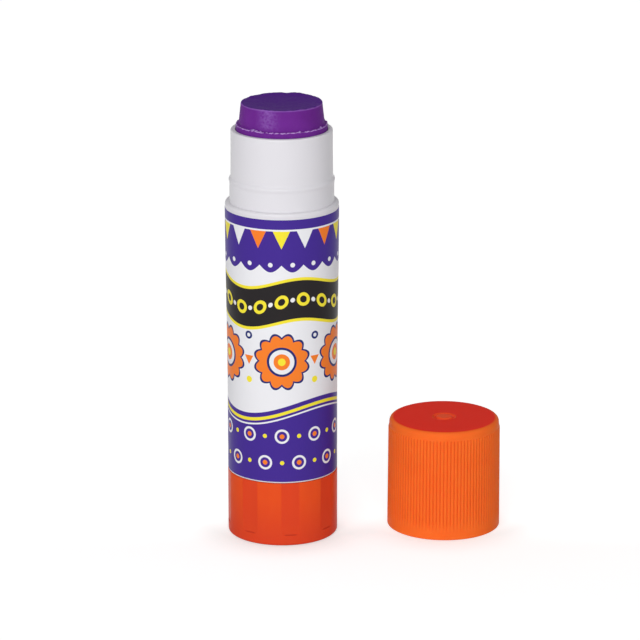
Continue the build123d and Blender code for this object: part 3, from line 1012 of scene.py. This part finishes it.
# Orange polypropylene, moulded satin: light let a little way in, soft broad highlight, with painted shade on
# the top's flat and in the rib valleys and a painted highlight on the gate mark.
cap_orange = "#F76A25"
cap_flow_oranges = ("#F86828", "#FF762E")
cap_flow_size = 5 * mm
cap_top_painted_shade = "#F92D1B"
cap_valley_painted_shade = "#D94C1C"
cap_gate_painted_highlight = "#FF6E3C"
orange_satin, tree, shader = surface("moulded polypropylene orange", {
    "Base Color": linear(cap_orange),
    "Roughness": 0.38,
    "IOR": 1.49,
    "Specular IOR Level": 0.015,
    "Subsurface Weight": 0.25,
    "Subsurface Scale": 1.5 * mm,
    "Subsurface Radius": (1.0, 0.15, 0.05),
})
where = add(tree, "TexCoord")
flow = add(tree, "TexNoise", {"Scale": 1 / cap_flow_size, "Detail": 2.0}, {"Vector": where.outputs["Object"]})
tints = {"data_type": "RGBA", 6: linear(cap_flow_oranges[0]), 7: linear(cap_flow_oranges[1])}
tint = add(tree, "Mix", tints, {0: flow})
place = add(tree, "SeparateXYZ", None, {0: where.outputs["Object"]})
aside = add(tree, "Math", {"operation": "SUBTRACT", 1: cap_centre[0]}, {0: place.outputs["X"]})
behind = add(tree, "Math", {"operation": "SUBTRACT", 1: cap_centre[1]}, {0: place.outputs["Y"]})
flat = add(tree, "CombineXYZ", None, {0: aside, 1: behind})
out = add(tree, "VectorMath", {"operation": "LENGTH"}, {0: flat})

# Painted shade: deeper orange in the valleys, where the ribs stand and only on the outside
ahead = add(tree, "Math", {"operation": "MULTIPLY", 1: -1.0}, {0: behind})
turn = add(tree, "Math", {"operation": "ARCTAN2"}, {0: aside, 1: ahead})
half_pitch = math.pi / cap_rib_count
off = add(tree, "Math", {"operation": "WRAP", 1: half_pitch, 2: -half_pitch}, {0: turn})
off = add(tree, "Math", {"operation": "ABSOLUTE"}, {0: off})
valley_shade = {"From Min": half_pitch * 0.45, "From Max": half_pitch, "To Max": 0.6}
valley_shade = add(tree, "MapRange", valley_shade, {"Value": off})
under_end = {"From Min": cap_rib_end + 0.02 * mm, "From Max": cap_rib_end - 0.1 * mm}
under_end = add(tree, "MapRange", under_end, {"Value": place.outputs["Z"]})
over_start = {"From Min": cap_rib_start, "From Max": cap_rib_start + cap_rib_run_in}
over_start = add(tree, "MapRange", over_start, {"Value": place.outputs["Z"]})
outside = {"From Min": cap_inside_limit - 0.05 * mm, "From Max": cap_inside_limit + 0.05 * mm}
outside = add(tree, "MapRange", outside, {"Value": out.outputs["Value"]})
for share in (under_end, over_start, outside):
    valley_shade = add(tree, "Math", {"operation": "MULTIPLY"}, {0: valley_shade, 1: share})
tint = add(tree, "Mix", {"data_type": "RGBA", 7: linear(cap_valley_painted_shade)}, {0: valley_shade, 6: tint.outputs[2]})

# Painted shade: redder on the flat of the top; painted highlight: paler again on the nub and round the lip of
# the dish
within = {"From Min": 9.6 * mm, "From Max": 9.2 * mm}
within = add(tree, "MapRange", within, {"Value": out.outputs["Value"]})
high_up = {"From Min": cap_top_z - 0.7 * mm, "From Max": cap_top_z - 0.5 * mm}
high_up = add(tree, "MapRange", high_up, {"Value": place.outputs["Z"]})
top_shade = add(tree, "Math", {"operation": "MULTIPLY"}, {0: within, 1: high_up})
tint = add(tree, "Mix", {"data_type": "RGBA", 7: linear(cap_top_painted_shade)}, {0: top_shade, 6: tint.outputs[2]})
nub_highlight = {"From Min": 1.75 * mm, "From Max": nub_radius, "To Max": 0.55}
nub_highlight = add(tree, "MapRange", nub_highlight, {"Value": out.outputs["Value"]})
dish_lip_highlight = add(tree, "Math", {"operation": "SUBTRACT", 1: gate_radius - gate_lean}, {0: out.outputs["Value"]})
dish_lip_highlight = add(tree, "Math", {"operation": "ABSOLUTE"}, {0: dish_lip_highlight})
dish_lip_highlight = add(tree, "MapRange", {"From Min": 0.35 * mm, "From Max": 0.1 * mm, "To Max": 0.5}, {"Value": dish_lip_highlight})
gate_highlight = add(tree, "Math", {"operation": "MAXIMUM"}, {0: nub_highlight, 1: dish_lip_highlight})
gate_highlight = add(tree, "Math", {"operation": "MULTIPLY"}, {0: gate_highlight, 1: high_up})
tint = add(tree, "Mix", {"data_type": "RGBA", 7: linear(cap_gate_painted_highlight)}, {0: gate_highlight, 6: tint.outputs[2]})
tree.links.new(tint.outputs[2], shader.inputs["Base Color"])
peel = add(tree, "TexNoise", {"Scale": 1 / peel_size, "Detail": 3.0}, {"Vector": where.outputs["Object"]})
relief = add(tree, "Bump", {"Strength": 0.25, "Distance": 0.01 * mm}, {"Height": peel})
tree.links.new(relief.outputs["Normal"], shader.inputs["Normal"])
cap.data.materials.append(orange_satin)

# Studio: a white table that runs out of sight, a big soft light in front and to the left, and the camera.

floor_half = 1.5
floor_paint = "#E6E6E6"
glow_front = 0.52
glow_back = 0.66
glow_change_front = -12 * mm
glow_change_back = 8 * mm
# Reach and tint of the painted contact shadow in the floor's glow
painted_shadow_reach = 10 * mm
painted_shadow_tint = (0.45, 0.6, 0.6, 1)
white = (1, 1, 1, 1)
corners = [(x * floor_half, y * floor_half, 0) for x, y in ((-1, -1), (1, -1), (1, 1), (-1, 1))]
mesh = bpy.data.meshes.new("studio_floor")
mesh.from_pydata(corners, [], [(0, 1, 2, 3)])
floor = bpy.data.objects.new("studio_floor", mesh)
bpy.context.scene.collection.objects.link(floor)

# White paint with an even glow behind, which dims a little at the front, and a painted contact shadow that
# darkens the glow next to what stands there
table = bpy.data.materials.new("white table")
table.use_nodes = True
tree = table.node_tree
tree.nodes.clear()
path = add(tree, "LightPath")
seen = path.outputs["Is Camera Ray"]
for ray in ("Is Glossy Ray", "Is Transmission Ray"):
    seen = add(tree, "Math", {"operation": "MAXIMUM"}, {0: seen, 1: path.outputs[ray]})
where = add(tree, "TexCoord")
place = add(tree, "SeparateXYZ", None, {0: where.outputs["Object"]})
change = {"interpolation_type": "SMOOTHSTEP", "From Min": glow_change_front, "From Max": glow_change_back}
back = add(tree, "MapRange", change, {"Value": place.outputs["Y"]})
even = add(tree, "MapRange", {"To Min": glow_front, "To Max": glow_back}, {"Value": back})
lit = add(tree, "Math", {"operation": "MULTIPLY"}, {0: even, 1: seen})
painted_shadow_ao = add(tree, "AmbientOcclusion", {"Distance": painted_shadow_reach})
unshadowed_share = add(tree, "MapRange", {"From Min": 0.5, "From Max": 0.95}, {"Value": painted_shadow_ao.outputs["AO"]})
unshadowed_share = add(tree, "Math", {"operation": "MAXIMUM"}, {0: unshadowed_share, 1: back})
shadowed_glow = add(tree, "Mix", {"data_type": "RGBA", 6: painted_shadow_tint, 7: white}, {0: unshadowed_share})
paint = add(tree, "BsdfDiffuse", {"Color": linear(floor_paint)})
glow = add(tree, "Emission", None, {"Color": shadowed_glow.outputs[2], "Strength": lit})
both = add(tree, "AddShader", None, {0: paint, 1: glow})
add(tree, "OutputMaterial", None, {0: both})
floor.data.materials.append(table)

# Surroundings: soft white light from all sides, weaker from above
sky_low = 0.56
sky_high = 0.28
world = bpy.data.worlds.new("studio")
bpy.context.scene.world = world
world.use_nodes = True
tree = world.node_tree
tree.nodes.clear()
where = add(tree, "TexCoord")
place = add(tree, "SeparateXYZ", None, {0: where.outputs["Generated"]})
sky = {"From Min": 0.0, "From Max": 0.8, "To Min": sky_low, "To Max": sky_high}
sky = add(tree, "MapRange", sky, {"Value": place.outputs["Z"]})
sky = add(tree, "Background", {"Color": white}, {"Strength": sky})
add(tree, "OutputWorld", None, {0: sky})

# The big soft light, in metres and watts, turned towards a point between the stick and the cap
softbox_place = Vector((-0.17, -1.0, 0.5))
softbox_aim = Vector((0.012, 0.0, 0.035))
softbox_data = bpy.data.lights.new("key softbox", "AREA")
softbox_data.shape = "RECTANGLE"
softbox_data.size = 0.9
softbox_data.size_y = 0.8
softbox_data.energy = 9.1
softbox = bpy.data.objects.new("key softbox", softbox_data)
bpy.context.scene.collection.objects.link(softbox)
softbox.location = softbox_place
softbox.rotation_euler = (softbox_aim - softbox_place).to_track_quat("-Z", "Y").to_euler()

# The camera looks down a little, straight along the depth of the scene
camera_place = (0.00683, -0.624, 0.2218)
camera_tilt = 16.26
camera_data = bpy.data.cameras.new("camera")
camera_data.sensor_width = 36
camera_data.lens = 202.05
camera = bpy.data.objects.new("camera", camera_data)
bpy.context.scene.collection.objects.link(camera)
camera.location = camera_place
camera.rotation_euler = (math.radians(90 - camera_tilt), 0, 0)
bpy.context.scene.camera = camera
bpy.context.scene.view_settings.view_transform = "Standard"
